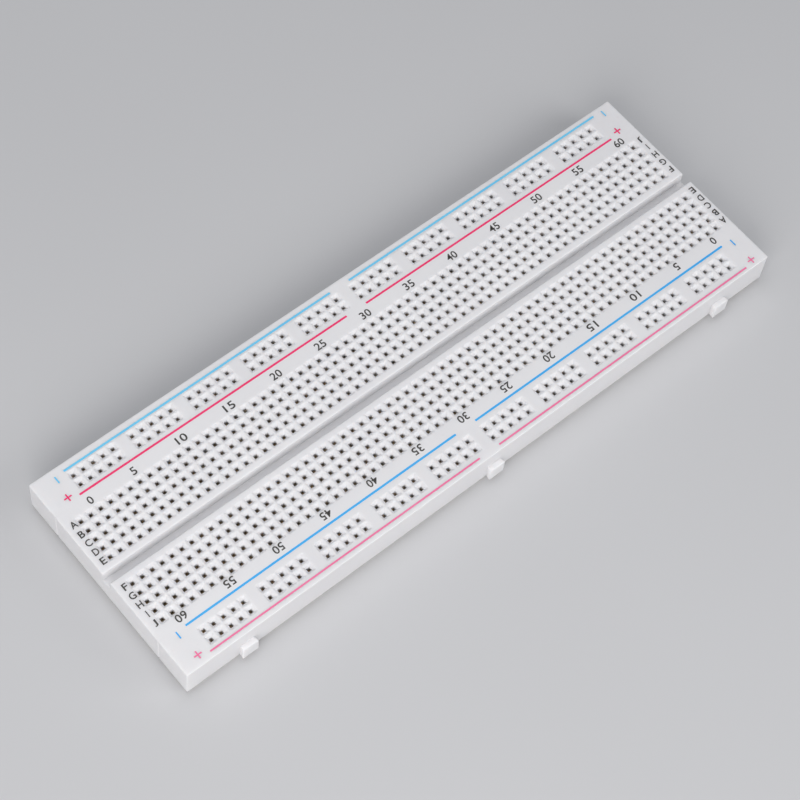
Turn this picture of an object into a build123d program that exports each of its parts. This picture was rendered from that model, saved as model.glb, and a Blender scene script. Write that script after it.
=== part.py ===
from build123d import *
import os

# Solderless breadboard: a main terminal strip between two power rails, each
# a moulding that is open underneath, with sprung contact clips in its
# cavities and a foam pad with a release liner below.
# Frame: X along the columns, Y from the near rail to the far rail, Z up,
# origin at the centre of the bounding box on the supporting surface.

os.makedirs("parts", exist_ok=True)

# ---------------------------------------------------------------- dimensions
pitch = 2.54                  # hole pitch, both ways

length = 165.1                # mouldings, along X
main_width = 35.1             # terminal strip, along Y
rail_width = 9.56             # one power rail, along Y
seam = 0.08                   # gap between neighbouring mouldings
body_height = 8.5             # moulding, underside to top face
edge_break = 0.35             # chamfer round the top face
corner_break = 0.5            # chamfer of the upright corner edges

foam_thick = 1.0              # adhesive foam pad
liner_thick = 0.15            # release liner
foam_inset = 0.9              # pad edge, in from the moulding's side
liner_inset = 0.7
far_edge_clear = 0.9          # more on the slotted side, so both lift past the next moulding's tabs

columns = 63                  # terminal strip columns
rows_per_clip = 5             # holes joined by one clip
inner_row = 3 * pitch / 2     # first row from the centre line (7.62 across)

mouth = 2.15                  # wire hole: square mouth of the lead-in
throat = 1.0                  # wire hole: square throat
lead_in = 0.65                # depth of the tapered lead-in
roof = 1.75                   # top face down to the cavity

channel_width = 2.5           # centre channel, for chips with 7.62 mm rows
channel_depth = 3.0
channel_break = 0.25

cavity_width = 2.08           # cavity across the clip
cavity_end = 1.3              # cavity end, out from the last hole centre

clip_half = 0.93              # clip, half width outside
clip_sheet = 0.2              # spring strip thickness
clip_lift = 0.35              # clip base above the moulding's underside
clip_height = 6.1             # clip base to finger tips
finger_width = 1.85

rail_row = pitch / 2          # rail rows, either side of the rail's hole line
rail_line = 4.75              # rail's hole line, from its edge on the strip
bus_first, bus_last = 2, 30   # columns of one half of a rail
bus_group = 6                 # five holes and one blank position

tab_root = 3.7                # dovetail tab width at the wall
tab_tip = 4.1                 # dovetail tab width at its face
tab_proud = 1.3
tab_height = 4.0
tab_pitch = 67.5
tab_shift = 0.4
slot_clear = 0.15             # all round a tab, inside its slot

# ------------------------------------------------------------------- derived
shift_y = tab_proud / 2                       # centres the box on the origin
base_z = foam_thick + liner_thick             # underside of the mouldings
top_z = base_z + body_height
main_half = main_width / 2
main_y = shift_y
far_in = main_y + main_half + seam            # far rail, edge on the strip
far_y = far_in + rail_width / 2
near_in = main_y - main_half - seam
near_y = near_in - rail_width / 2
far_line = far_in + rail_line
near_line = near_in - rail_line
tab_xs = [tab_shift - tab_pitch, tab_shift, tab_shift + tab_pitch]
bank_y = inner_row + 2 * pitch                # middle hole of a clip


def column_x(col):
    return (col - (columns - 1) / 2) * pitch


rail_cols = [c for c in range(bus_first, bus_last + 1)
             if (c - bus_first) % bus_group != bus_group - 1]

# ------------------------------------------------------ one wire hole lead-in
over = 0.05
slope = (mouth - throat) / 2 / lead_in
with BuildPart() as lead:
    with BuildSketch(Plane.XY.offset(top_z - lead_in)) as lead_low:
        Rectangle(throat, throat)
    with BuildSketch(Plane.XY.offset(top_z + over)) as lead_high:
        Rectangle(mouth + 2 * slope * over, mouth + 2 * slope * over)
    loft(ruled=True)

# ------------------------------- cavity of one terminal clip, with five holes
with BuildPart() as clip_cavity:
    with BuildSketch(Plane.XY.offset(base_z - over)) as cavity_plan:
        Rectangle(cavity_width, (rows_per_clip - 1) * pitch + 2 * cavity_end)
    extrude(amount=body_height - roof + over)
    with BuildSketch(Plane.XY.offset(base_z + body_height - roof - over)) as throats:
        with GridLocations(pitch, pitch, 1, rows_per_clip):
            Rectangle(throat, throat)
    extrude(amount=roof - lead_in + over)
    with GridLocations(pitch, pitch, 1, rows_per_clip):
        add(lead.part)

# --------------------------------------- cavity of one bus strip, with holes
bus_mid_x = (column_x(bus_first) + column_x(bus_last)) / 2
bus_span = column_x(bus_last) - column_x(bus_first)
with BuildPart() as bus_cavity:
    with BuildSketch(Plane.XY.offset(base_z - over)) as bus_plan:
        with Locations((bus_mid_x, 0)):
            Rectangle(bus_span + 2 * cavity_end, cavity_width)
    extrude(amount=body_height - roof + over)
    with BuildSketch(Plane.XY.offset(base_z + body_height - roof - over)) as bus_throats:
        with Locations(*[(column_x(c), 0) for c in rail_cols]):
            Rectangle(throat, throat)
    extrude(amount=roof - lead_in + over)
    with Locations(*[(column_x(c), 0, 0) for c in rail_cols]):
        add(lead.part)


def moulding_blank(name, mid_y, width):
    """Rail or strip block, with tabs on its near side and slots on its far
    side. The slots open downwards, so a strip drops onto its neighbour."""
    near_edge, far_edge = mid_y - width / 2, mid_y + width / 2
    with BuildPart() as blank:
        with BuildSketch(Plane.XY.offset(base_z)) as plan:
            with Locations((0, mid_y)):
                Rectangle(length, width)
            chamfer(plan.vertices(), corner_break)
        extrude(amount=body_height)
        chamfer(blank.faces().sort_by(Axis.Z)[-1].edges(), edge_break)
        with BuildSketch(Plane.XY.offset(base_z)) as tabs:
            for x in tab_xs:
                with BuildLine():
                    Polyline((x - tab_root / 2, near_edge + 0.2),
                             (x - tab_root / 2, near_edge),
                             (x - tab_tip / 2, near_edge - tab_proud),
                             (x + tab_tip / 2, near_edge - tab_proud),
                             (x + tab_root / 2, near_edge),
                             (x + tab_root / 2, near_edge + 0.2), close=True)
                make_face()
        extrude(amount=tab_height)
        chamfer(blank.edges().filter_by(Axis.X).filter_by_position(
            Axis.Y, near_edge - tab_proud - 0.01, near_edge - tab_proud + 0.01
        ).group_by(Axis.Z)[-1], 0.3)
        with BuildSketch(Plane.XY.offset(base_z - over)) as slots:
            for x in tab_xs:
                lean = (tab_tip - tab_root) / 2 / tab_proud
                w0 = tab_root / 2 + slot_clear
                w1 = tab_tip / 2 + slot_clear + lean * slot_clear
                with BuildLine():
                    Polyline((x - w0, far_edge + 0.2), (x - w0, far_edge),
                             (x - w1, far_edge - tab_proud - slot_clear),
                             (x + w1, far_edge - tab_proud - slot_clear),
                             (x + w0, far_edge), (x + w0, far_edge + 0.2),
                             close=True)
                make_face()
        extrude(amount=tab_height + 0.3 + over, mode=Mode.SUBTRACT)
    blank.part.label = name
    return blank.part


# ------------------------------------------------------- the three mouldings
with BuildPart() as main_housing:
    add(moulding_blank("main_blank", main_y, main_width))
    # centre channel, open at both ends
    with BuildSketch(Plane.YZ.offset(-length / 2 - 1)) as channel:
        with BuildLine():
            Polyline((main_y - channel_width / 2, top_z - channel_depth),
                     (main_y + channel_width / 2, top_z - channel_depth),
                     (main_y + channel_width / 2, top_z - channel_break),
                     (main_y + channel_width / 2 + channel_break, top_z),
                     (main_y + channel_width / 2 + channel_break, top_z + 1),
                     (main_y - channel_width / 2 - channel_break, top_z + 1),
                     (main_y - channel_width / 2 - channel_break, top_z),
                     (main_y - channel_width / 2, top_z - channel_break),
                     close=True)
        make_face()
    extrude(amount=length + 2, mode=Mode.SUBTRACT)
    with Locations(*[(column_x(c), main_y + side * bank_y, 0)
                     for side in (-1, 1) for c in range(columns)]):
        add(clip_cavity.part, mode=Mode.SUBTRACT)
main_housing.part.label = "main_housing"
export_step(main_housing.part, "parts/main_housing.step", write_pcurves=False)

bus_shift = column_x(32) - column_x(2)
with BuildPart() as far_rail_housing:
    add(moulding_blank("far_blank", far_y, rail_width))
    with Locations(*[(dx, far_line + dy, 0) for dx in (0, bus_shift)
                     for dy in (-rail_row, rail_row)]):
        add(bus_cavity.part, mode=Mode.SUBTRACT)
far_rail_housing.part.label = "far_rail_housing"
export_step(far_rail_housing.part, "parts/far_rail_housing.step", write_pcurves=False)

with BuildPart() as near_rail_housing:
    add(moulding_blank("near_blank", near_y, rail_width))
    with Locations(*[(dx, near_line + dy, 0) for dx in (0, bus_shift)
                     for dy in (-rail_row, rail_row)]):
        add(bus_cavity.part, mode=Mode.SUBTRACT)
near_rail_housing.part.label = "near_rail_housing"
export_step(near_rail_housing.part, "parts/near_rail_housing.step", write_pcurves=False)

# --------------------------------------------- one terminal clip, five pairs
# Section across the clip: a channel with leaning fingers that pinch on the
# hole's centre line and flare out at their tips.
clip_z = base_z + clip_lift
channel_top = clip_z + 1.6
pinch_z = clip_z + 4.8
tip_z = clip_z + clip_height
channel_section = [(-clip_half, clip_z), (clip_half, clip_z),
                   (clip_half, channel_top), (clip_half - clip_sheet, channel_top),
                   (clip_half - clip_sheet, clip_z + clip_sheet),
                   (-clip_half + clip_sheet, clip_z + clip_sheet),
                   (-clip_half + clip_sheet, channel_top), (-clip_half, channel_top)]
finger_section = [(clip_half, channel_top), (0.05 + clip_sheet, pinch_z),
                  (0.76, tip_z), (0.56, tip_z), (0.05, pinch_z),
                  (clip_half - clip_sheet, channel_top)]
clip_run = (rows_per_clip - 1) * pitch + finger_width

with BuildPart() as clip:
    with BuildSketch(Plane.XZ.offset(-clip_run / 2)) as channel_face:
        with BuildLine():
            Polyline(*channel_section, close=True)
        make_face()
    extrude(amount=clip_run)
    for k in range(rows_per_clip):
        y = (k - (rows_per_clip - 1) / 2) * pitch
        with BuildSketch(Plane.XZ.offset(-y - finger_width / 2)) as finger_face:
            with BuildLine():
                Polyline(*finger_section, close=True)
            make_face()
            mirror(about=Plane.YZ)
        extrude(amount=finger_width)

# The 126 clips are identical, in two banks of 63 (rows A to E, rows F to J),
# ten columns to a node and thirteen in the last.
decades = [(c, min(c + 9, columns - 4) if c < 50 else columns - 1)
           for c in range(0, 60, 10)]
banks = (("ae", main_y + bank_y), ("fj", main_y - bank_y))
for bank, y in banks:
    for first, last in decades:
        with BuildPart() as clips:
            with Locations(*[(column_x(c), y, 0) for c in range(first, last + 1)]):
                add(clip.part)
        name = f"{bank}_clips_{first + 1:02d}_{last + 1:02d}"
        clips.part.label = name
        export_step(clips.part, f"parts/{name}.step", write_pcurves=False)

# ------------------------------------------- bus strip, 25 pairs along X
bus_run = bus_span + finger_width
with BuildPart() as bus:
    with BuildSketch(Plane.YZ.offset(bus_mid_x - bus_run / 2)) as bus_channel:
        with BuildLine():
            Polyline(*channel_section, close=True)
        make_face()
    extrude(amount=bus_run)
    for c in rail_cols:
        with BuildSketch(Plane.YZ.offset(column_x(c) - finger_width / 2)) as bus_finger:
            with BuildLine():
                Polyline(*finger_section, close=True)
            make_face()
            mirror(about=Plane.YZ)
        extrude(amount=finger_width)

for rail, line in (("far", far_line), ("near", near_line)):
    for sign, dy in (("minus", rail_row), ("plus", -rail_row)):
        for half, dx in (("left", 0), ("right", bus_shift)):
            with BuildPart() as strip:
                with Locations((dx, line + dy, 0)):
                    add(bus.part)
            name = f"{rail}_{sign}_bus_{half}"
            strip.part.label = name
            export_step(strip.part, f"parts/{name}.step", write_pcurves=False)

# ------------------------------------------------ foam pads and their liners
for name, mid_y, width in (("main", main_y, main_width),
                           ("far_rail", far_y, rail_width),
                           ("near_rail", near_y, rail_width)):
    with BuildPart() as pad:
        with BuildSketch(Plane.XY.offset(liner_thick)) as pad_plan:
            with Locations((0, mid_y - far_edge_clear / 2)):
                Rectangle(length - 2 * foam_inset, width - 2 * foam_inset - far_edge_clear)
            chamfer(pad_plan.vertices(), 0.6)
        extrude(amount=foam_thick)
    pad.part.label = f"{name}_foam_pad"
    export_step(pad.part, f"parts/{name}_foam_pad.step", write_pcurves=False)
    with BuildPart() as liner:
        with BuildSketch(Plane.XY) as liner_plan:
            with Locations((0, mid_y - far_edge_clear / 2)):
                Rectangle(length - 2 * liner_inset, width - 2 * liner_inset - far_edge_clear)
            chamfer(liner_plan.vertices(), 0.6)
        extrude(amount=liner_thick)
    liner.part.label = f"{name}_liner"
    export_step(liner.part, f"parts/{name}_liner.step", write_pcurves=False)
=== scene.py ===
import bpy, bmesh, math, random
import numpy as np
from mathutils import Vector, Matrix, noise


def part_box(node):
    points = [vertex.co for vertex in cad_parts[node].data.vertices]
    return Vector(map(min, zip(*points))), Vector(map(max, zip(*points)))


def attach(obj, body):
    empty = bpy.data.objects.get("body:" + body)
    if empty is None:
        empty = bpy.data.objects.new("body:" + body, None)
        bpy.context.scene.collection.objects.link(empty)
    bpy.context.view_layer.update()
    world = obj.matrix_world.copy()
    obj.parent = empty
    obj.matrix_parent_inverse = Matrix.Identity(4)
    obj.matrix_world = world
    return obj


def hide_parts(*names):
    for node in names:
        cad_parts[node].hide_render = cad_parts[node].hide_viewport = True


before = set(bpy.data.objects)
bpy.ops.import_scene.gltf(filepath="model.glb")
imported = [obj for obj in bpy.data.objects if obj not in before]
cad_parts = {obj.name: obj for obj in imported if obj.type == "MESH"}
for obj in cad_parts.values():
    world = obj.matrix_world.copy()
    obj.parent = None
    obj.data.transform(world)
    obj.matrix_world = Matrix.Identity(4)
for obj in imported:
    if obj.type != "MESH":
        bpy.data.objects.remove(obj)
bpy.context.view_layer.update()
MM = 0.001


def mm_box(node):
    lo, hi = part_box(node)
    return [round(c / MM, 3) for c in lo], [round(c / MM, 3) for c in hi]


# ------------------------------------------------------------ frame positions
m_lo, m_hi = mm_box("main_housing")
f_lo, f_hi = mm_box("far_rail_housing")
n_lo, n_hi = mm_box("near_rail_housing")
TAB = 1.3                                  # tabs stand this far off each near side
PITCH = 2.54
X0, X1 = m_lo[0], m_hi[0]
BASE, TOP = m_lo[2], m_hi[2]
MAIN_Y = round((m_lo[1] + TAB + m_hi[1]) / 2, 3)     # hole grid's centre line
FAR_LINE = round(f_lo[1] + TAB + 4.75, 3)
SEAMS = (round((m_hi[1] + f_lo[1] + TAB) / 2, 3), round((n_hi[1] + m_lo[1] + TAB) / 2, 3))
NEAR_LINE = round(n_hi[1] - 4.75, 3)
TAB_X = (0.4 - 67.5, 0.4, 0.4 + 67.5)
COLS = range(63)
RAIL_COLS = [c for c in range(2, 61) if (c - 2) % 6 != 5 and c != 31]
BUS = ((2, 30), (32, 60))


def col_x(c):
    return (c - 31) * PITCH


def link(name, mesh):
    o = bpy.data.objects.new(name, mesh)
    bpy.context.scene.collection.objects.link(o)
    return o


# ------------------------------------------------------------------ materials
def new_mat(name):
    m = bpy.data.materials.new(name)
    m.use_nodes = True
    nt = m.node_tree
    nt.nodes.clear()
    out = nt.nodes.new("ShaderNodeOutputMaterial")
    bsdf = nt.nodes.new("ShaderNodeBsdfPrincipled")
    nt.links.new(bsdf.outputs["BSDF"], out.inputs["Surface"])
    return m, nt, bsdf


def coords(nt):
    return nt.nodes.new("ShaderNodeTexCoord").outputs["Object"]


def noise_tex(nt, vec, scale, detail=4.0, rough=0.55, distortion=0.0):
    n = nt.nodes.new("ShaderNodeTexNoise")
    n.inputs["Scale"].default_value = scale
    n.inputs["Detail"].default_value = detail
    n.inputs["Roughness"].default_value = rough
    n.inputs["Distortion"].default_value = distortion
    nt.links.new(vec, n.inputs["Vector"])
    return n.outputs["Fac"]


def ramp(nt, fac, stops):
    r = nt.nodes.new("ShaderNodeValToRGB")
    e = r.color_ramp.elements
    while len(e) > 1:
        e.remove(e[-1])
    e[0].position, e[0].color = stops[0][0], (*stops[0][1], 1)
    for p, c in stops[1:]:
        k = e.new(p)
        k.color = (*c, 1)
    nt.links.new(fac, r.inputs["Fac"])
    return r.outputs["Color"]


def map_range(nt, val, a, b, c, d):
    n = nt.nodes.new("ShaderNodeMapRange")
    for k, v in zip(("From Min", "From Max", "To Min", "To Max"), (a, b, c, d)):
        n.inputs[k].default_value = v
    nt.links.new(val, n.inputs["Value"])
    return n.outputs["Result"]


def math_node(nt, op, a, b=None):
    n = nt.nodes.new("ShaderNodeMath")
    n.operation = op
    for i, v in enumerate((a, b)):
        if v is None:
            continue
        if isinstance(v, (int, float)):
            n.inputs[i].default_value = v
        else:
            nt.links.new(v, n.inputs[i])
    return n.outputs["Value"]


def mix_rgb(nt, fac, a, b, mode="MIX"):
    n = nt.nodes.new("ShaderNodeMix")
    n.data_type = "RGBA"
    n.blend_type = mode
    for s, v in ((n.inputs[0], fac), (n.inputs[6], a), (n.inputs[7], b)):
        if isinstance(v, (int, float)):
            s.default_value = v
        elif isinstance(v, tuple):
            s.default_value = (*v, 1)
        else:
            nt.links.new(v, s)
    return n.outputs[2]


def bump(nt, bsdf, height, strength, distance):
    b = nt.nodes.new("ShaderNodeBump")
    b.inputs["Strength"].default_value = strength
    b.inputs["Distance"].default_value = distance
    nt.links.new(height, b.inputs["Height"])
    nt.links.new(b.outputs["Normal"], bsdf.inputs["Normal"])
    return b


def abs_material():
    """White moulded ABS: satin, a little translucent, with fine mould texture, faint flow clouds, and faint specks of
    dust.
    """
    m, nt, bsdf = new_mat("white_abs_moulded")
    v = coords(nt)
    cloud = noise_tex(nt, v, 60, 3, 0.5)
    fine = noise_tex(nt, v, 2600, 3, 0.6)
    speck = noise_tex(nt, v, 900, 2, 0.4)
    col = ramp(nt, cloud, [(0.3, (0.845, 0.835, 0.850)), (0.7, (0.875, 0.866, 0.876))])
    dust = map_range(nt, speck, 0.66, 0.80, 0.0, 0.05)
    col = mix_rgb(nt, dust, col, (0.50, 0.47, 0.42))
    nt.links.new(col, bsdf.inputs["Base Color"])
    r = map_range(nt, fine, 0.3, 0.7, 0.36, 0.50)
    nt.links.new(r, bsdf.inputs["Roughness"])
    bsdf.inputs["IOR"].default_value = 1.53
    side = nt.nodes.new("ShaderNodeSeparateXYZ")
    nt.links.new(v, side.inputs["Vector"])
    gap = [math_node(nt, "ABSOLUTE", math_node(nt, "SUBTRACT", side.outputs["Y"], y * MM)) for y in SEAMS]
    gap = math_node(nt, "MINIMUM", gap[0], gap[1])      # at a seam the glow stops, or a dark line would form there
    nt.links.new(map_range(nt, gap, 0.6 * MM, 2.2 * MM, 0.0, 0.85), bsdf.inputs["Subsurface Weight"])
    bsdf.inputs["Subsurface Radius"].default_value = (1.0, 0.96, 0.93)
    bsdf.inputs["Subsurface Scale"].default_value = 0.0013
    wave = noise_tex(nt, v, 190, 2, 0.5)
    h = math_node(nt, "ADD", math_node(nt, "MULTIPLY", fine, 0.35), math_node(nt, "MULTIPLY", wave, 1.0))
    bump(nt, bsdf, h, 0.35, 0.00004)
    return m


def metal_material():
    """Nickel-plated phosphor bronze spring strip: warm grey, with rolling streaks, a little tarnish and worn high spots."""
    m, nt, bsdf = new_mat("plated_spring_bronze")
    v = coords(nt)
    mp = nt.nodes.new("ShaderNodeMapping")
    mp.inputs["Scale"].default_value = (1.0, 1.0, 14.0)
    nt.links.new(v, mp.inputs["Vector"])
    streak = noise_tex(nt, mp.outputs["Vector"], 500, 4, 0.6)
    patch = noise_tex(nt, v, 220, 3, 0.5)
    base = ramp(nt, patch, [(0.35, (0.80, 0.68, 0.48)), (0.6, (0.88, 0.79, 0.62)), (0.75, (0.92, 0.86, 0.73))])
    col = mix_rgb(nt, map_range(nt, streak, 0.3, 0.7, 0.0, 0.35), base, (0.66, 0.53, 0.36))
    nt.links.new(col, bsdf.inputs["Base Color"])
    bsdf.inputs["Metallic"].default_value = 1.0
    nt.links.new(map_range(nt, streak, 0.25, 0.75, 0.42, 0.64), bsdf.inputs["Roughness"])
    bump(nt, bsdf, streak, 0.25, 0.00001)
    return m


def foam_material():
    """Closed-cell foam tape: off-white, matt, with fine cells and slight yellowing."""
    m, nt, bsdf = new_mat("adhesive_foam")
    v = coords(nt)
    vor = nt.nodes.new("ShaderNodeTexVoronoi")
    vor.inputs["Scale"].default_value = 5200
    nt.links.new(v, vor.inputs["Vector"])
    cells = vor.outputs["Distance"]
    cloud = noise_tex(nt, v, 90, 3, 0.5)
    col = ramp(nt, cloud, [(0.3, (0.66, 0.64, 0.58)), (0.7, (0.76, 0.745, 0.70))])
    col = mix_rgb(nt, map_range(nt, cells, 0.0, 0.5, 0.30, 0.0), col, (0.42, 0.40, 0.35))
    nt.links.new(col, bsdf.inputs["Base Color"])
    nt.links.new(map_range(nt, cells, 0.0, 0.6, 0.95, 0.78), bsdf.inputs["Roughness"])
    bump(nt, bsdf, cells, 0.8, 0.00008)
    return m


def paper_material():
    """Silicone-coated release paper: pale cream with fibres, a faint sheen and a diamond quilting from its roller."""
    m, nt, bsdf = new_mat("release_paper")
    v = coords(nt)
    mp = nt.nodes.new("ShaderNodeMapping")
    mp.inputs["Scale"].default_value = (1.0, 5.0, 1.0)
    nt.links.new(v, mp.inputs["Vector"])
    fibre = noise_tex(nt, mp.outputs["Vector"], 700, 6, 0.65, 0.6)
    cloud = noise_tex(nt, v, 45, 3, 0.5)
    col = ramp(nt, cloud, [(0.3, (0.70, 0.655, 0.53)), (0.7, (0.78, 0.74, 0.63))])
    col = mix_rgb(nt, map_range(nt, fibre, 0.45, 0.75, 0.0, 0.22), col, (0.55, 0.50, 0.38))
    nt.links.new(col, bsdf.inputs["Base Color"])
    nt.links.new(map_range(nt, fibre, 0.3, 0.7, 0.42, 0.60), bsdf.inputs["Roughness"])
    quilt = []
    for ang in (0.6, -0.6):
        rot = nt.nodes.new("ShaderNodeMapping")
        rot.inputs["Rotation"].default_value = (0, 0, ang)
        nt.links.new(v, rot.inputs["Vector"])
        w = nt.nodes.new("ShaderNodeTexWave")
        w.inputs["Scale"].default_value = 160
        nt.links.new(rot.outputs["Vector"], w.inputs["Vector"])
        quilt.append(w.outputs["Fac"])
    h = math_node(nt, "ADD", math_node(nt, "MULTIPLY", quilt[0], 0.5), math_node(nt, "MULTIPLY", quilt[1], 0.5))
    h = math_node(nt, "ADD", h, math_node(nt, "MULTIPLY", fibre, 0.5))
    bump(nt, bsdf, h, 0.3, 0.00003)
    bsdf.inputs["Coat Weight"].default_value = 0.15
    bsdf.inputs["Coat Roughness"].default_value = 0.35
    return m


def ink_material(name, dark, light, gloss=0.45):
    """Screen-printed ink: a thin matt film, uneven in density, with tiny voids where the plastic's texture shows through."""
    m, nt, bsdf = new_mat(name)
    v = coords(nt)
    cloud = noise_tex(nt, v, 140, 3, 0.5)
    grain = noise_tex(nt, v, 5200, 3, 0.6)
    col = ramp(nt, cloud, [(0.3, dark), (0.7, light)])
    col = mix_rgb(nt, map_range(nt, grain, 0.62, 0.78, 0.0, 0.45), col, (0.80, 0.79, 0.81))
    nt.links.new(col, bsdf.inputs["Base Color"])
    nt.links.new(map_range(nt, grain, 0.3, 0.7, gloss - 0.08, gloss + 0.12), bsdf.inputs["Roughness"])
    bump(nt, bsdf, grain, 0.3, 0.00001)
    return m


WHITE = abs_material()


def web_material(z_top, z_low):
    """The same plastic on the channel's walls and floor, with painted shade: its colour turns greyer with depth into
    the channel.
    """
    m = WHITE.copy()
    m.name = "white_abs_channel_painted_shade"
    nt = m.node_tree
    bsdf = next(n for n in nt.nodes if n.type == "BSDF_PRINCIPLED")
    src = bsdf.inputs["Base Color"].links[0].from_socket
    sep = nt.nodes.new("ShaderNodeSeparateXYZ")
    tc = next(n for n in nt.nodes if n.type == "TEX_COORD")
    nt.links.new(tc.outputs["Object"], sep.inputs["Vector"])
    # painted shade: the colour goes from the plastic's white at z_top to grey at z_low
    painted_shade_depth = map_range(nt, sep.outputs["Z"], z_top, z_low, 0.0, 1.0)
    nt.links.new(mix_rgb(nt, painted_shade_depth, src, (0.76, 0.755, 0.765)), bsdf.inputs["Base Color"])
    return m


METAL = metal_material()
FOAM = foam_material()
PAPER = paper_material()
INK_FAR_BLUE = ink_material("ink_light_blue", (0.14, 0.62, 0.97), (0.18, 0.67, 0.98))
INK_NEAR_BLUE = ink_material("ink_blue", (0.030, 0.43, 0.95), (0.05, 0.48, 0.97))
INK_FAR_RED = ink_material("ink_crimson", (0.94, 0.022, 0.155), (0.97, 0.036, 0.19))
INK_NEAR_RED = ink_material("ink_pink", (0.97, 0.17, 0.37), (0.98, 0.22, 0.42))
INK_GREY = ink_material("ink_grey", (0.035, 0.031, 0.027), (0.060, 0.054, 0.048), 0.5)


# ------------------------------------------------------- moulded housing shell
class Shell:
    """Polygons given by their corners in mm. Equal corners are welded, so shells come out closed."""

    def __init__(self):
        self.at, self.co, self.faces = {}, [], []

    def face(self, pts):
        ids = []
        for x, y, z in pts:
            k = (round(x * 5000), round(y * 5000), round(z * 5000))
            i = self.at.get(k)
            if i is None:
                i = self.at[k] = len(self.co)
                self.co.append((x * MM, y * MM, z * MM))
            if not ids or ids[-1] != i:
                ids.append(i)
        while len(ids) > 1 and ids[0] == ids[-1]:
            ids.pop()
        if len(ids) >= 3:
            self.faces.append(ids)

    def loops(self, a, b):
        n = len(a)
        for k in range(n):
            self.face([a[k], a[(k + 1) % n], b[(k + 1) % n], b[k]])

    def build(self, name, sharp=50):
        me = bpy.data.meshes.new(name)
        me.from_pydata(self.co, [], self.faces)
        bm = bmesh.new()
        bm.from_mesh(me)
        bmesh.ops.recalc_face_normals(bm, faces=bm.faces)
        open_edges = sum(1 for e in bm.edges if len(e.link_faces) != 2)
        bm.to_mesh(me)
        bm.free()
        print("shell", name, "verts", len(me.vertices), "faces", len(me.polygons), "open edges", open_edges)
        me.polygons.foreach_set("use_smooth", [True] * len(me.polygons))
        me.set_sharp_from_angle(angle=math.radians(sharp))
        o = link(name, me)
        w = o.modifiers.new("weighted", "WEIGHTED_NORMAL")
        w.keep_sharp = True
        w.weight = 100
        return o


def ring(cx, cy, half, r, z):
    """Twelve points round a square hole with softened corners, anticlockwise from the right side."""
    k = r * (1 - math.sqrt(0.5))
    pts = []
    for sx, sy in ((1, 1), (-1, 1), (-1, -1), (1, -1)):
        a = (cx + sx * half, cy + sy * (half - r), z)
        b = (cx + sx * (half - k), cy + sy * (half - k), z)
        c = (cx + sx * (half - r), cy + sy * half, z)
        pts += [a, b, c] if sx * sy > 0 else [c, b, a]
    return pts


def block(xs, ys, z):
    """The same twelve places on the border of a 3 by 3 block of grid cells."""
    (xa, xb, xc, xd), (ya, yb, yc, yd) = xs, ys
    return [(xd, yc, z), (xd, yd, z), (xc, yd, z), (xb, yd, z), (xa, yd, z), (xa, yc, z),
            (xa, yb, z), (xa, ya, z), (xb, ya, z), (xc, ya, z), (xd, ya, z), (xd, yb, z)]


MOUTH, LEAD, ROOF = 1.075, 0.65, 1.75
EDGE_R, SEAM_R, CORNER_R = 0.20, 0.012, 0.35
CLOSE = 0.036                      # each seam face stands this much closer than in the solids
HALF = PITCH / 2
SIDE = 0.825                       # where a mouth's straight side begins


def hole(s, cx, cy, xs, ys, THROAT):
    """One wire hole: rounded brow, tapered lead-in, throat, and its exit in the cavity's roof."""
    rings = [block(xs, ys, TOP),
             ring(cx, cy, MOUTH + 0.05, 0.28, TOP),
             ring(cx, cy, MOUTH + 0.015, 0.26, TOP - 0.012),
             ring(cx, cy, MOUTH - 0.03, 0.24, TOP - 0.05),
             ring(cx, cy, THROAT + 0.075, 0.15, TOP - LEAD + 0.06),
             ring(cx, cy, THROAT + 0.025, 0.13, TOP - LEAD - 0.01),
             ring(cx, cy, THROAT, 0.12, TOP - LEAD - 0.08),
             ring(cx, cy, THROAT, 0.12, TOP - ROOF + 0.03),
             ring(cx, cy, THROAT + 0.03, 0.12, TOP - ROOF)]
    for a, b in zip(rings, rings[1:]):
        s.loops(a, b)


def grid_faces(s, xs, ys, z):
    for a, b in zip(xs, xs[1:]):
        for c, d in zip(ys, ys[1:]):
            s.face([(a, c, z), (b, c, z), (b, d, z), (a, d, z)])


CHANNEL = [(-2.54, 0), (-2.51, 0), (-1.58, 0), (-1.50, -0.012), (-1.40, -0.055), (-1.31, -0.14), (-1.265, -0.25), (-1.25, -0.38),
           (-1.25, -2.72), (-1.225, -2.86), (-1.15, -2.96), (-1.02, -3.0)]
CHANNEL = CHANNEL + [(-y, z) for y, z in reversed(CHANNEL)]


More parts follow.
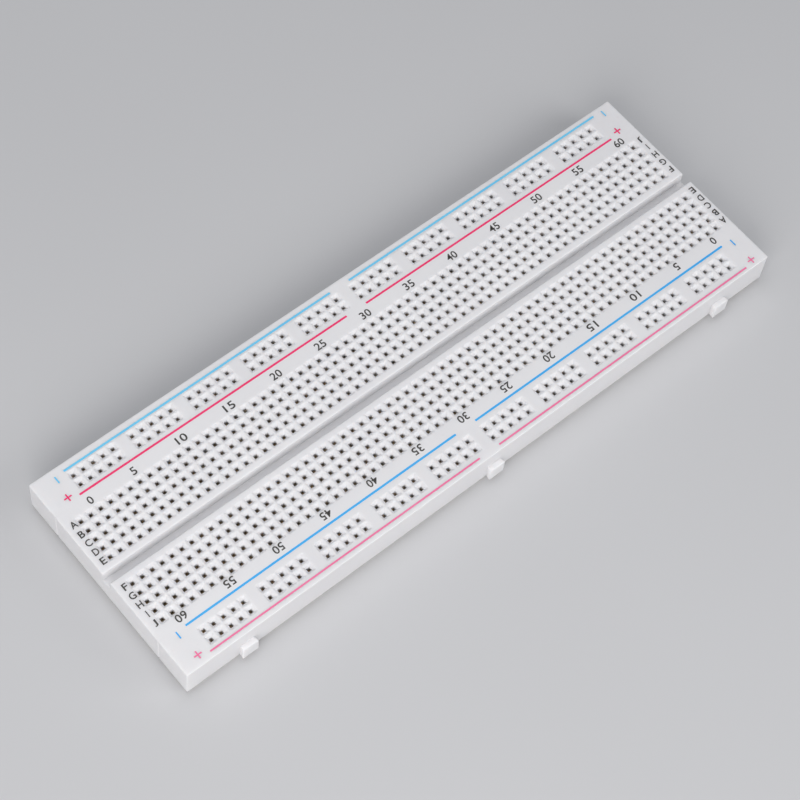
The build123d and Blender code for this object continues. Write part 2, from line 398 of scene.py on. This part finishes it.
def housing(name, mid_y, y0, y1, fields, cavities, channel, near_e, far_e, throat):
    """A moulding with wire holes, cavities under them, dovetail tabs on its near side and slots on its far side.
    fields: (row centres, columns with holes); cavities: (x low, x high, y low, y high, [hole centres])."""
    s = Shell()
    xt = []                                       # grid lines of the top along x
    for c in COLS:
        xt += [col_x(c) - HALF, col_x(c) - SIDE, col_x(c) + SIDE]
    xt.append(col_x(62) + HALF)
    fx0, fx1 = xt[0], xt[-1]
    # top: hole fields
    for rows, cols in fields:
        for r in rows:
            ys = [r - HALF, r - SIDE, r + SIDE, r + HALF]
            for c in COLS:
                x = col_x(c)
                xs = [x - HALF, x - SIDE, x + SIDE, x + HALF]
                if c in cols:
                    hole(s, x, r, xs, ys, throat)
                else:
                    grid_faces(s, xs, ys, TOP)
    rows_all = sorted(r for rows, _ in fields for r in rows)
    fy0, fy1 = rows_all[0] - HALF, rows_all[-1] + HALF
    # top: centre channel, a dip between the two fields
    if channel:
        prof = [(mid_y + y, TOP + z) for y, z in CHANNEL]
        for (ya, za), (yb, zb) in zip(prof, prof[1:]):
            for a, b in zip(xt, xt[1:]):
                s.face([(a, ya, za), (b, ya, za), (b, yb, zb), (a, yb, zb)])
    # outline stations, anticlockwise, with their outward direction and the depth of the top there
    xb = sorted({v for c in cavities for v in c[:2]})
    yb = sorted({v for c in cavities for v in c[2:4]})
    w0, w1 = 3.7 / 2, 4.1 / 2                     # tab half width at the wall and at its face
    v0, v1 = w0 + 0.15, w1 + 0.15 + 0.15 * 0.2 / 1.3
    slot_d, tab_h, slot_h = TAB + 0.15, 4.0, 4.3
    long_x = sorted({round(v, 5) for v in xt + xb})
    tab_x = sorted({round(t + k * w0, 5) for t in TAB_X for k in (-1, 1)})
    slot_x = sorted({round(t + k * v0, 5) for t in TAB_X for k in (-1, 1)})
    near_x = sorted(set(long_x) | set(tab_x))
    far_x = sorted(set(long_x) | set(slot_x))
    row_y = {round(v, 5) for r in rows_all for v in (r - HALF, r - SIDE, r + SIDE, r + HALF)} | {round(v, 5) for v in yb}
    if channel:
        row_y = {v for v in row_y if abs(v - mid_y) > 2.52}
        left = sorted([(v, 0.0) for v in row_y if v < mid_y])
        right = sorted([(v, 0.0) for v in row_y if v > mid_y])
        end_y = left + [(mid_y + y, z) for y, z in CHANNEL[1:-1]] + right
    else:
        end_y = sorted((v, 0.0) for v in row_y)
    R = CORNER_R
    end_y = [(y0 + R, 0.0)] + [e for e in end_y if y0 + R < e[0] < y1 - R] + [(y1 - R, 0.0)]
    near_all = [X0 + R] + [x for x in near_x if X0 + R < x < X1 - R] + [X1 - R]
    far_all = [X0 + R] + [x for x in far_x if X0 + R < x < X1 - R] + [X1 - R]

    def arc(cx, cy, a0, ea, eb):
        return [(cx + R * math.cos(a), cy + R * math.sin(a), math.cos(a), math.sin(a), 0.0, ea + (eb - ea) * k / 6)
                for k, a in ((k, math.radians(a0 + 15 * k)) for k in range(1, 6))]

    e = EDGE_R
    east = [(X1, y, 1, 0, z, e) for y, z in end_y]
    ne = arc(X1 - R, y1 - R, 0, e, far_e)
    north = [(x, y1, 0, 1, 0.0, far_e) for x in reversed(far_all)]
    nw = arc(X0 + R, y1 - R, 90, far_e, e)
    west = [(X0, y, -1, 0, z, e) for y, z in reversed(end_y)]
    sw = arc(X0 + R, y0 + R, 180, e, near_e)
    south = [(x, y0, 0, -1, 0.0, near_e) for x in near_all]
    se = arc(X1 - R, y0 + R, 270, near_e, e)
    loop = east + ne + north + nw + west + sw + south + se

    def at(st, off, dz):
        return (st[0] + st[2] * off * st[5], st[1] + st[3] * off * st[5], TOP + st[4] + dz * st[5])

    def low(st):
        return (st[0], st[1], BASE)

    steps = 5
    prof = [(-1 + math.sin(math.pi / 2 * k / steps), -1 + math.cos(math.pi / 2 * k / steps)) for k in range(steps + 1)]
    for a, b in zip(loop, loop[1:] + loop[:1]):
        for (o1, d1), (o2, d2) in zip(prof, prof[1:]):
            s.face([at(a, o1, d1), at(b, o1, d1), at(b, o2, d2), at(a, o2, d2)])

    def inner(st):
        return at(st, -1, 0)

    # top: margins between the fields and the rim
    def between(stations, axis, lo, hi):
        return [st for st in stations if lo - 1e-4 <= st[axis] <= hi + 1e-4]

    for side, yy, stations in (("far", fy1, list(reversed(north))), ("near", fy0, south)):
        for c in COLS:
            a, b = col_x(c) - HALF, col_x(c) + HALF
            inn = [(x, yy, TOP) for x in (a, a + HALF - SIDE, b - HALF + SIDE, b)]
            s.face(inn + [inner(t) for t in reversed(between(stations, 0, a, b))])
    mid_rows = rows_all
    for xx, stations in ((fx1, east), (fx0, list(reversed(west)))):
        for r in mid_rows:
            a, b = r - HALF, r + HALF
            inn = [(xx, y, TOP) for y in (a, r - SIDE, r + SIDE, b)]
            s.face(inn + [inner(t) for t in reversed(between(stations, 1, a, b))])
        if channel:
            chan = [t for t in stations if abs(t[1] - mid_y) < 2.54 + 1e-4]
            edge = [(xx, mid_y + y, TOP + z) for y, z in CHANNEL]
            outer = [inner(t) for t in chan]
            if len(outer) != len(edge):
                raise RuntimeError("channel stations don't match: %d and %d" % (len(outer), len(edge)))
            for k in range(len(edge) - 1):
                s.face([edge[k], edge[k + 1], outer[k + 1], outer[k]])
    nor, wes = list(reversed(north)), list(reversed(west))
    s.face([(fx1, fy1, TOP)] + [inner(t) for t in between(east, 1, fy1, 1e9)] + [inner(t) for t in ne] + [inner(t) for t in between(north, 0, fx1, 1e9)])
    s.face([(fx0, fy1, TOP)] + [inner(t) for t in between(north, 0, -1e9, fx0)] + [inner(t) for t in nw] + [inner(t) for t in between(west, 1, fy1, 1e9)])
    s.face([(fx0, fy0, TOP)] + [inner(t) for t in between(west, 1, -1e9, fy0)] + [inner(t) for t in sw] + [inner(t) for t in between(south, 0, -1e9, fx0)])
    s.face([(fx1, fy0, TOP)] + [inner(t) for t in between(south, 0, fx1, 1e9)] + [inner(t) for t in se] + [inner(t) for t in between(east, 1, -1e9, fy0)])

    # walls
    for ends in (east, west):
        s.face([at(t, 0, -1) for t in ends] + [low(t) for t in reversed(ends)])
    for corner, first, last in ((ne, east[-1], north[0]), (nw, north[-1], west[0]), (sw, west[-1], south[0]), (se, south[-1], east[0])):
        run = [first] + corner + [last]
        for a, b in zip(run, run[1:]):
            s.face([at(a, 0, -1), at(b, 0, -1), low(b), low(a)])
    zt, zs = BASE + tab_h, BASE + slot_h
    bev = [(0.0, -0.32), (0.09, -0.10), (0.30, 0.0)]      # tab's top edge: inset, height
    for stations, yy, notch_x, half, z_split in ((nor, y1, TAB_X, v0, zs), (south, y0, TAB_X, w0, zt + bev[0][1])):
        edges = {round(t + k * half, 5) for t in notch_x for k in (-1, 1)}
        for a, b in zip(stations, stations[1:]):
            ax, bx = round(a[0], 5), round(b[0], 5)
            if any(t - half - 1e-4 < ax and bx < t + half + 1e-4 for t in notch_x):
                continue                                   # in front of a slot or behind a tab
            pts = [at(a, 0, -1), at(b, 0, -1)]
            if bx in edges:
                pts.append((b[0], yy, z_split))
            pts += [low(b), low(a)]
            if ax in edges:
                pts.append((a[0], yy, z_split))
            s.face(pts)
        for t in notch_x:
            over = between(stations, 0, t - half, t + half)
            if yy == y1:
                s.face([at(p, 0, -1) for p in over] + [(t + half, yy, zs), (t - half, yy, zs)])
            else:
                s.face([at(p, 0, -1) for p in over]
                       + [(t + half - i, yy, zt + h) for i, h in bev] + [(t - half + i, yy, zt + h) for i, h in reversed(bev)])
    # dovetail slots: cheeks, back and ceiling
    for t in TAB_X:
        plan = [(t - v0, y1), (t - v1, y1 - slot_d), (t + v1, y1 - slot_d), (t + v0, y1)]
        for (ax, ay), (bx, by) in zip(plan, plan[1:]):
            s.face([(ax, ay, BASE), (bx, by, BASE), (bx, by, zs), (ax, ay, zs)])
        s.face([(x, y, zs) for x, y in plan])
    # dovetail tabs with softened faces
    tab_plans = []
    for t in TAB_X:
        def plan(ins):
            tip, lx = y0 - TAB + ins, w1 - ins
            out = [(t - w0 + ins, y0), (t - lx + 0.025, tip + 0.17), (t - lx + 0.055, tip + 0.05), (t - lx + 0.18, tip)]
            return out + [(2 * t - x, y) for x, y in reversed(out)]
        tab_plans.append(plan(0.0))
        levels = [(0.0, BASE)] + [(i, zt + h) for i, h in bev]
        for (i1, z1), (i2, z2) in zip(levels, levels[1:]):
            p, q = plan(i1), plan(i2)
            for k in range(len(p) - 1):
                s.face([(*p[k], z1), (*p[k + 1], z1), (*q[k + 1], z2), (*q[k], z2)])
        s.face([(*p, zt) for p in plan(bev[-1][0])])

    # cavities: roof with hole exits, and walls
    for x0, x1, ya, yb_, centres, along in cavities:
        z = TOP - ROOF
        if along == "y":
            cx = (x0 + x1) / 2
            xs = [x0, cx - 0.41, cx + 0.41, x1]
            cuts = [ya]
            for k, cy in enumerate(centres):
                hi = yb_ if k == len(centres) - 1 else cy + HALF
                ys = [cuts[-1], cy - 0.41, cy + 0.41, hi]
                s.loops(block(xs, ys, z), ring(cx, cy, throat + 0.03, 0.12, z))
                cuts += ys[1:]
            side = cuts
            ends = xs
        else:
            cy = (ya + yb_) / 2
            ys = [ya, cy - 0.41, cy + 0.41, yb_]
            cuts = [x0]
            n = len(centres)
            for k, (cx, has) in enumerate(centres):
                hi = x1 if k == n - 1 else cx + HALF
                xs = [cuts[-1], cx - 0.41, cx + 0.41, hi]
                if has:
                    s.loops(block(xs, ys, z), ring(cx, cy, throat + 0.03, 0.12, z))
                else:
                    grid_faces(s, xs, ys, z)
                cuts += xs[1:]
            side, ends = ys, cuts
        for xx in (x0, x1):
            s.face([(xx, y, z) for y in side] + [(xx, yb_, BASE), (xx, ya, BASE)])
        for yy in (ya, yb_):
            s.face([(x, yy, z) for x in ends] + [(x1, yy, BASE), (x0, yy, BASE)])

    # underside between the cavities
    rects = [(round(c[0], 4), round(c[1], 4), round(c[2], 4), round(c[3], 4)) for c in cavities]
    for a, b in zip(xb, xb[1:]):
        for c, d in zip(yb, yb[1:]):
            if any(r[0] - 1e-3 <= a and b <= r[1] + 1e-3 and r[2] - 1e-3 <= c and d <= r[3] + 1e-3 for r in rects):
                continue
            s.face([(a, c, BASE), (b, c, BASE), (b, d, BASE), (a, d, BASE)])

    def notched(stations, lo, hi, half, plans):
        """Outer edge of an underside margin from lo to hi, with the slots' or tabs' outlines in place."""
        out = []
        for st in between(stations, 0, lo, hi):
            hit = next((k for k, t in enumerate(TAB_X) if t - half - 1e-4 <= st[0] <= t + half + 1e-4), None)
            if hit is None:
                out.append(low(st))
            elif abs(st[0] - (TAB_X[hit] - half)) < 1e-4:
                out += [(x, y, BASE) for x, y in plans[hit]]
        return out

    slot_plans = [[(t - v0, y1), (t - v1, y1 - slot_d), (t + v1, y1 - slot_d), (t + v0, y1)] for t in TAB_X]
    for stations, yy, half, plans in ((nor, yb[-1], v0, slot_plans), (south, yb[0], w0, tab_plans)):
        lines = list(xb)
        for t in TAB_X:                                     # no margin may end inside a notch
            lines = [x for x in lines if not (t - half - 0.3 < x < t + half + 0.3)]
        for a, b in zip(lines, lines[1:]):
            inn = [(x, yy, BASE) for x in xb if a - 1e-4 <= x <= b + 1e-4]
            s.face(inn + list(reversed(notched(stations, a, b, half, plans))))
    for xx, stations in ((xb[-1], east), (xb[0], wes)):
        for a, b in zip(yb, yb[1:]):
            s.face([(xx, a, BASE), (xx, b, BASE)] + [low(t) for t in reversed(between(stations, 1, a, b))])
    for px, py, first, corner, last in (
            (xb[-1], yb[-1], between(east, 1, yb[-1], 1e9), ne, between(north, 0, xb[-1], 1e9)),
            (xb[0], yb[-1], between(north, 0, -1e9, xb[0]), nw, between(west, 1, yb[-1], 1e9)),
            (xb[0], yb[0], between(west, 1, -1e9, yb[0]), sw, between(south, 0, -1e9, xb[0])),
            (xb[-1], yb[0], between(south, 0, xb[-1], 1e9), se, between(east, 1, -1e9, yb[0]))):
        s.face([(px, py, BASE)] + [low(t) for t in first + corner + last])
    o = s.build(name)
    o.data.materials.append(WHITE)
    return o


def terminal_cavities():
    out = []
    for side in (-1, 1):
        cy = MAIN_Y + side * (1.5 * PITCH + 2 * PITCH)
        rows = [cy + (k - 2) * PITCH for k in range(5)]
        for c in COLS:
            x = col_x(c)
            out.append((x - 1.04, x + 1.04, rows[0] - 1.3, rows[-1] + 1.3, rows, "y"))
    return out


def rail_cavities(line):
    out = []
    for a, b in BUS:
        for r in (line - HALF, line + HALF):
            centres = [(col_x(c), c in RAIL_COLS) for c in range(a, b + 1)]
            out.append((col_x(a) - 1.3, col_x(b) + 1.3, r - 1.04, r + 1.04, centres, "x"))
    return out


low_rows = [MAIN_Y - (1.5 + k) * PITCH for k in range(5)]
high_rows = [MAIN_Y + (1.5 + k) * PITCH for k in range(5)]
main = housing("main_moulding", MAIN_Y, round(m_lo[1] + TAB - CLOSE, 3), round(m_hi[1] + CLOSE, 3),
               [(sorted(low_rows), set(COLS)), (high_rows, set(COLS))], terminal_cavities(), True, SEAM_R, SEAM_R, 0.47)
far = housing("far_rail_moulding", FAR_LINE, round(f_lo[1] + TAB - CLOSE, 3), f_hi[1],
              [([FAR_LINE - HALF, FAR_LINE + HALF], set(RAIL_COLS))], rail_cavities(FAR_LINE), False, SEAM_R, EDGE_R, 0.44)
near = housing("near_rail_moulding", NEAR_LINE, round(n_lo[1] + TAB, 3), round(n_hi[1] + CLOSE, 3),
               [([NEAR_LINE - HALF, NEAR_LINE + HALF], set(RAIL_COLS))], rail_cavities(NEAR_LINE), False, EDGE_R, SEAM_R, 0.44)
# the channel's walls and floor get the copy of the plastic with painted shade, greyer with depth
main.data.materials.append(web_material((TOP - 0.9) * MM, (TOP - 2.9) * MM))
for f in main.data.polygons:
    cs = [main.data.vertices[i].co / MM for i in f.vertices]
    if all(abs(c.y - MAIN_Y) < 1.30 and TOP - 3.1 < c.z < TOP - 0.2 for c in cs):
        f.material_index = 1
for o, body, node in ((main, "main_strip", "main_housing"), (far, "far_rail", "far_rail_housing"), (near, "near_rail", "near_rail_housing")):
    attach(o, body)
    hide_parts(node)

# ---------------------------------------------------- contact clips, from CAD
for n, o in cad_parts.items():
    if "clips" in n or "_bus_" in n:
        o.data.materials.clear()
        o.data.materials.append(METAL)


# ----------------------------------------------------- foam pads and liners
def plate(name, node, mat, edge_noise, top_noise, seed, rim=0.08, step=1.2, chamfer=0.6):
    """A thin cut sheet with rounded rims, whose edge wanders a little as a die-cut edge does."""
    lo, hi = mm_box(node)
    x0, y0, z0, x1, y1, z1 = *lo, *hi
    s = Shell()
    nx, ny = max(2, round((x1 - x0) / step)), max(2, round((y1 - y0) / step))
    xs = [x0 + chamfer + (x1 - x0 - 2 * chamfer) * k / nx for k in range(nx + 1)]
    ys = [y0 + chamfer + (y1 - y0 - 2 * chamfer) * k / ny for k in range(ny + 1)]

    def wob(x, y, z):
        return noise.noise(Vector((x * 0.8 + seed, y * 0.8, z * 2.0)))

    def arc(cx, cy, a0):
        return [(cx + chamfer * math.cos(a), cy + chamfer * math.sin(a), math.cos(a), math.sin(a))
                for a in (math.radians(a0 + 18 * k) for k in range(1, 5))]

    loop = ([(x1, y, 1, 0) for y in ys] + arc(x1 - chamfer, y1 - chamfer, 0)
            + [(x, y1, 0, 1) for x in reversed(xs)] + arc(x0 + chamfer, y1 - chamfer, 90)
            + [(x0, y, -1, 0) for y in reversed(ys)] + arc(x0 + chamfer, y0 + chamfer, 180)
            + [(x, y0, 0, -1) for x in xs] + arc(x1 - chamfer, y0 + chamfer, 270))
    h = z1 - z0
    r = min(rim, h * 0.45)
    prof = [(-r, z1), (-r * 0.3, z1 - r * 0.3), (0, z1 - r), (0, z0 + h * 0.5), (0, z0 + r), (-r * 0.3, z0 + r * 0.3), (-r, z0)]

    def pt(st, off, z):
        d = off - edge_noise * (0.5 + 0.5 * wob(st[0], st[1], z * 3))
        return (st[0] + st[2] * d, st[1] + st[3] * d, z)

    for a, b in zip(loop, loop[1:] + loop[:1]):
        for (o1, h1), (o2, h2) in zip(prof, prof[1:]):
            s.face([pt(a, o1, h1), pt(b, o1, h1), pt(b, o2, h2), pt(a, o2, h2)])
    def lift(x, y, z):
        return z - top_noise * (0.5 + 0.5 * wob(x * 0.7, y * 0.7, 5)) if z == z1 else z
    for z in (z1, z0):
        for a, b in zip(xs, xs[1:]):
            for c, d in zip(ys, ys[1:]):
                s.face([(a, c, z), (b, c, z), (b, d, z), (a, d, z)])
        o1 = prof[0][0]
        n = len(loop)
        for k in range(n):
            a, b = loop[k], loop[(k + 1) % n]
            ia = (min(max(a[0], xs[0]), xs[-1]), min(max(a[1], ys[0]), ys[-1]), z)
            ib = (min(max(b[0], xs[0]), xs[-1]), min(max(b[1], ys[0]), ys[-1]), z)
            s.face([ia, ib, pt(b, o1, z), pt(a, o1, z)])
    o = s.build(name)
    o.data.materials.append(mat)
    return o


for k, (stem, body) in enumerate((("main", "main_strip"), ("far_rail", "far_rail"), ("near_rail", "near_rail"))):
    pad = plate(stem + "_foam", stem + "_foam_pad", FOAM, 0.10, 0.0, 3.1 + 7 * k)
    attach(pad, body)
    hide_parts(stem + "_foam_pad")
    sheet = plate(stem + "_release_liner", stem + "_liner", PAPER, 0.06, 0.0, 11.7 + 5 * k, rim=0.04)
    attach(sheet, body)
    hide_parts(stem + "_liner")

# -------------------------------------------------------------------- printing
INK = 0.012                       # ink film above the plastic
SINK = 0.02                       # and how far it is keyed into it


class Ink:
    """Printed marks of one colour on one moulding, gathered into one mesh."""

    def __init__(self):
        self.co, self.faces = [], []

    def prism(self, pts):
        """A closed film over the outline pts, in mm, anticlockwise."""
        n, k = len(pts), len(self.co)
        self.co += [(x * MM, y * MM, (TOP - SINK) * MM) for x, y in pts]
        self.co += [(x * MM, y * MM, (TOP + INK * 0.4) * MM) for x, y in pts]
        cx, cy = sum(p[0] for p in pts) / n, sum(p[1] for p in pts) / n
        inset = []
        for i in range(n):
            (ax, ay), (bx, by), (cx_, cy_) = pts[i - 1], pts[i], pts[(i + 1) % n]
            d1 = Vector((bx - ax, by - ay)).normalized()
            d2 = Vector((cx_ - bx, cy_ - by)).normalized()
            nrm = (Vector((-d1.y, d1.x)) + Vector((-d2.y, d2.x)))
            nrm = nrm.normalized() if nrm.length > 1e-6 else Vector((-d1.y, d1.x))
            inset.append((bx + nrm.x * 0.012, by + nrm.y * 0.012))
        self.co += [(x * MM, y * MM, (TOP + INK) * MM) for x, y in inset]
        for a in (0, n):
            for i in range(n):
                j = (i + 1) % n
                self.faces.append([k + a + i, k + a + j, k + a + n + j, k + a + n + i])
        self.faces.append([k + 2 * n + i for i in range(n)])
        self.faces.append([k + i for i in reversed(range(n))])

    def bar(self, xa, ya, xb, yb, width, wander=0.0, seed=0.0, step=1.2, soft=0.45):
        """A straight stroke from a to b with softened ends and slightly uneven edges."""
        a, b = Vector((xa, ya)), Vector((xb, yb))
        d = (b - a).normalized()
        nrm = Vector((-d.y, d.x))
        n = max(1, round((b - a).length / step))
        r = width * soft * 0.5
        right, left = [], []
        for k in range(n + 1):
            t = (b - a).length * k / n
            t = min(max(t, r), (b - a).length - r)
            q = a + d * t
            e1 = wander * noise.noise(Vector((q.x * 0.9 + seed, q.y, 0.3)))
            e2 = wander * noise.noise(Vector((q.x * 0.9 + seed, q.y, 7.3)))
            right.append(q - nrm * (width / 2 + e1))
            left.append(q + nrm * (width / 2 + e2))
        h = width / 2
        end_b = [b - nrm * (h - r), b + nrm * (h - r)]
        end_a = [a + nrm * (h - r), a - nrm * (h - r)]
        pts = right + end_b + list(reversed(left)) + end_a
        self.prism([(p.x, p.y) for p in pts])

    def glyph(self, text, cx, cy, height, width, turned=False, weight=0.012):
        """Text centred on a point, stretched to its printed size."""
        cu = bpy.data.curves.new("glyph", "FONT")
        cu.body = text
        cu.size = 1.0
        cu.resolution_u = 4
        cu.offset = weight
        tmp = bpy.data.objects.new("glyph", cu)
        bpy.context.scene.collection.objects.link(tmp)
        dg = bpy.context.evaluated_depsgraph_get()
        me = bpy.data.meshes.new_from_object(tmp.evaluated_get(dg))
        bpy.data.objects.remove(tmp)
        bm = bmesh.new()
        bm.from_mesh(me)
        bmesh.ops.remove_doubles(bm, verts=bm.verts, dist=1e-5)
        bmesh.ops.dissolve_limit(bm, angle_limit=0.02, verts=bm.verts, edges=bm.edges)
        xs = [v.co.x for v in bm.verts]
        ys = [v.co.y for v in bm.verts]
        sx, sy = width / (max(xs) - min(xs)), height / (max(ys) - min(ys))
        mx, my = (max(xs) + min(xs)) / 2, (max(ys) + min(ys)) / 2
        sgn = -1 if turned else 1
        bmesh.ops.triangulate(bm, faces=bm.faces)
        for v in bm.verts:
            v.co = Vector(((v.co.x - mx) * sx * sgn + cx, (v.co.y - my) * sy * sgn + cy, TOP + INK))
        bm.faces.ensure_lookup_table()
        top = list(bm.faces)
        ext = bmesh.ops.extrude_face_region(bm, geom=top)
        for e in ext["geom"]:
            if isinstance(e, bmesh.types.BMVert):
                e.co.z = TOP - SINK
        bmesh.ops.recalc_face_normals(bm, faces=bm.faces)
        k = len(self.co)
        bm.verts.ensure_lookup_table()
        bm.verts.index_update()
        self.co += [(v.co.x * MM, v.co.y * MM, v.co.z * MM) for v in bm.verts]
        self.faces += [[k + v.index for v in f.verts] for f in bm.faces]
        bm.free()
        bpy.data.meshes.remove(me)
        bpy.data.curves.remove(cu)

    def build(self, name, mat, body):
        me = bpy.data.meshes.new(name)
        me.from_pydata(self.co, [], self.faces)
        bm = bmesh.new()
        bm.from_mesh(me)
        bmesh.ops.recalc_face_normals(bm, faces=bm.faces)
        print("ink", name, "faces", len(bm.faces), "open edges", sum(1 for e in bm.edges if len(e.link_faces) != 2))
        bm.to_mesh(me)
        bm.free()
        me.materials.append(mat)
        o = link(name, me)
        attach(o, body)
        return o


# Printed marks are placed from the hole grid's centre (0, MAIN_Y).
def place(x, y):
    return x, y + MAIN_Y


def stripe(ink, xa, ya, xb, yb, cut_a, cut_b, width, seed):
    """A line from end to end with one break, from cut_a to cut_b."""
    def y_at(x):
        return ya + (yb - ya) * (x - xa) / (xb - xa)
    for a, b in ((xa, cut_a), (cut_b, xb)):
        (px, py), (qx, qy) = place(a, y_at(a)), place(b, y_at(b))
        ink.bar(px, py, qx, qy, width, 0.02, seed)


def plus(ink, x, y, size=1.9, stroke=0.34):
    """A plus as one outline."""
    x, y = place(x, y)
    a, b = size / 2, stroke / 2
    ink.prism([(x + px, y + py) for px, py in (
        (a, -b), (a, b), (b, b), (b, a), (-b, a), (-b, b), (-a, b), (-a, -b), (-b, -b), (-b, -a), (b, -a), (b, -b))])


def minus(ink, x, y, size=1.8, stroke=0.33):
    """The minus is turned to stand along the board's end."""
    x, y = place(x, y)
    ink.bar(x, y - size / 2, x, y + size / 2, stroke, 0.0, 0.0, 0.6)


fb, fr_, nb, nr_, tx = Ink(), Ink(), Ink(), Ink(), {"main_strip": Ink(), "far_rail": Ink(), "near_rail": Ink()}
stripe(fb, -74.88, 25.38, 76.79, 25.88, -2.79, 2.60, 0.50, 1.0)
minus(fb, -77.18, 24.52)
minus(fb, 79.29, 25.07)
stripe(fr_, -75.48, 18.89, 75.79, 18.55, -3.59, 1.90, 0.48, 2.0)
plus(fr_, -77.78, 19.82)
plus(fr_, 78.49, 19.42)
stripe(nb, -76.08, -18.22, 75.99, -18.72, -3.69, 1.80, 0.50, 3.0)
minus(nb, -78.48, -19.02)
minus(nb, 78.69, -19.52)
stripe(nr_, -75.58, -25.77, 76.49, -26.26, -3.39, 2.10, 0.40, 4.0)
plus(nr_, -77.98, -24.81)
plus(nr_, 78.79, -25.41)

UPPER = ((0, -74.48, 16.53), (5, -63.30, 16.53), (10, -50.72, 16.53), (15, -37.94, 16.53), (20, -25.16, 16.53), (25, -12.88, 16.53),
         (30, 0.0, 16.63), (35, 12.49, 16.63), (40, 25.07, 16.63), (45, 37.75, 16.63), (50, 50.73, 16.73), (55, 63.51, 16.73), (60, 76.49, 16.73))
LOWER = ((60, -75.58, -16.12), (55, -63.10, -16.12), (50, -50.42, -16.22), (45, -37.74, -16.22), (40, -25.16, -16.22), (35, -12.58, -16.27),
         (30, 0.20, -16.32), (25, 12.59, -16.32), (20, 25.07, -16.32), (15, 38.05, -16.37), (10, 51.03, -16.42), (5, 63.91, -16.42), (0, 75.39, -16.42))
for marks, turned in ((UPPER, False), (LOWER, True)):
    for n, x, y in marks:
        px, py = place(x, y)
        tx["main_strip"].glyph(str(n), px, py, 1.90, 2.62 if n > 9 else 1.22, turned)
LEFT = zip("ABCDEFGHIJ", (13.98, 11.24, 8.74, 6.24, 3.65, -3.80, -6.34, -8.83, -11.43, -14.03))
RIGHT = zip("JIHGFEDCBA", (14.33, 11.83, 9.14, 6.54, 3.95, -3.44, -6.14, -8.63, -11.13, -13.73))
WIDTHS = {"A": 1.38, "B": 1.15, "C": 1.28, "D": 1.22, "E": 1.08, "F": 1.0, "G": 1.34, "H": 1.18, "I": 0.2, "J": 0.82}
for marks, x, turned in ((LEFT, -80.57, False), (RIGHT, 81.18, True)):
    for ch, y in marks:
        px, py = place(x, y)
        tx["main_strip"].glyph(ch, px, py, 1.66, 1.06 * WIDTHS[ch], turned)

fb.build("far_minus_marks", INK_FAR_BLUE, "far_rail")
fr_.build("far_plus_marks", INK_FAR_RED, "far_rail")
nb.build("near_minus_marks", INK_NEAR_BLUE, "near_rail")
nr_.build("near_plus_marks", INK_NEAR_RED, "near_rail")
tx["main_strip"].build("index_marks", INK_GREY, "main_strip")

# ------------------------------------------------------------- floor and light
m, nt, bsdf = new_mat("pale_floor")
v = coords(nt)
col = ramp(nt, noise_tex(nt, v, 3, 3, 0.5), [(0.3, (0.60, 0.60, 0.61)), (0.7, (0.64, 0.64, 0.65))])
nt.links.new(col, bsdf.inputs["Base Color"])
bsdf.inputs["Roughness"].default_value = 0.8
me = bpy.data.meshes.new("floor")
S = 1.6
me.from_pydata([(-S, -S, -0.0002), (S, -S, -0.0002), (S, S, -0.0002), (-S, S, -0.0002)], [], [[0, 1, 2, 3]])
ground = link("floor", me)
ground.data.materials.append(m)


def area(name, loc, target, size, power, color=(1, 1, 1)):
    d = bpy.data.lights.new(name, "AREA")
    d.shape = "RECTANGLE"
    d.size, d.size_y = size
    d.energy = power
    d.color = color
    o = bpy.data.objects.new(name, d)
    bpy.context.scene.collection.objects.link(o)
    o.location = loc
    o.rotation_euler = (Vector(target) - Vector(loc)).to_track_quat("-Z", "Y").to_euler()
    return o


area("key", (-0.50, -0.36, 0.40), (0, 0, 0), (0.50, 0.50), 2.9, (1.0, 0.985, 0.975))
area("top", (-0.10, 0.10, 0.95), (0, 0, 0), (0.8, 0.8), 3.2, (0.975, 0.98, 1.0))
area("front", (0.42, -0.62, 0.42), (0, 0, 0), (0.5, 0.4), 1.75)
world = bpy.data.worlds.new("studio")
world.use_nodes = True
world.node_tree.nodes["Background"].inputs["Color"].default_value = (0.80, 0.83, 0.88, 1)
world.node_tree.nodes["Background"].inputs["Strength"].default_value = 0.25
bpy.context.scene.world = world
bpy.context.scene.view_settings.view_transform = "Standard"

# ---------------------------------------------------------------------- camera
cam = bpy.data.cameras.new("camera")
cam.sensor_width = 36.0
cam.lens = 101.943
cam.clip_start, cam.clip_end = 0.01, 10
co = bpy.data.objects.new("camera", cam)
bpy.context.scene.collection.objects.link(co)
rows = ((0.7652431426360854, -0.6395674076275063, 0.07318786613284012),
        (-0.5332864686576587, -0.6935101083639647, -0.4844061022981083),
        (0.36056688005845916, 0.3316583493561298, -0.871776499056539))
mat = Matrix(((rows[0][0], -rows[1][0], -rows[2][0], -0.184172),
              (rows[0][1], -rows[1][1], -rows[2][1], -0.166215),
              (rows[0][2], -rows[1][2], -rows[2][2], 0.436025),
              (0, 0, 0, 1)))
co.matrix_world = mat
bpy.context.scene.camera = co

bpy.context.view_layer.update()
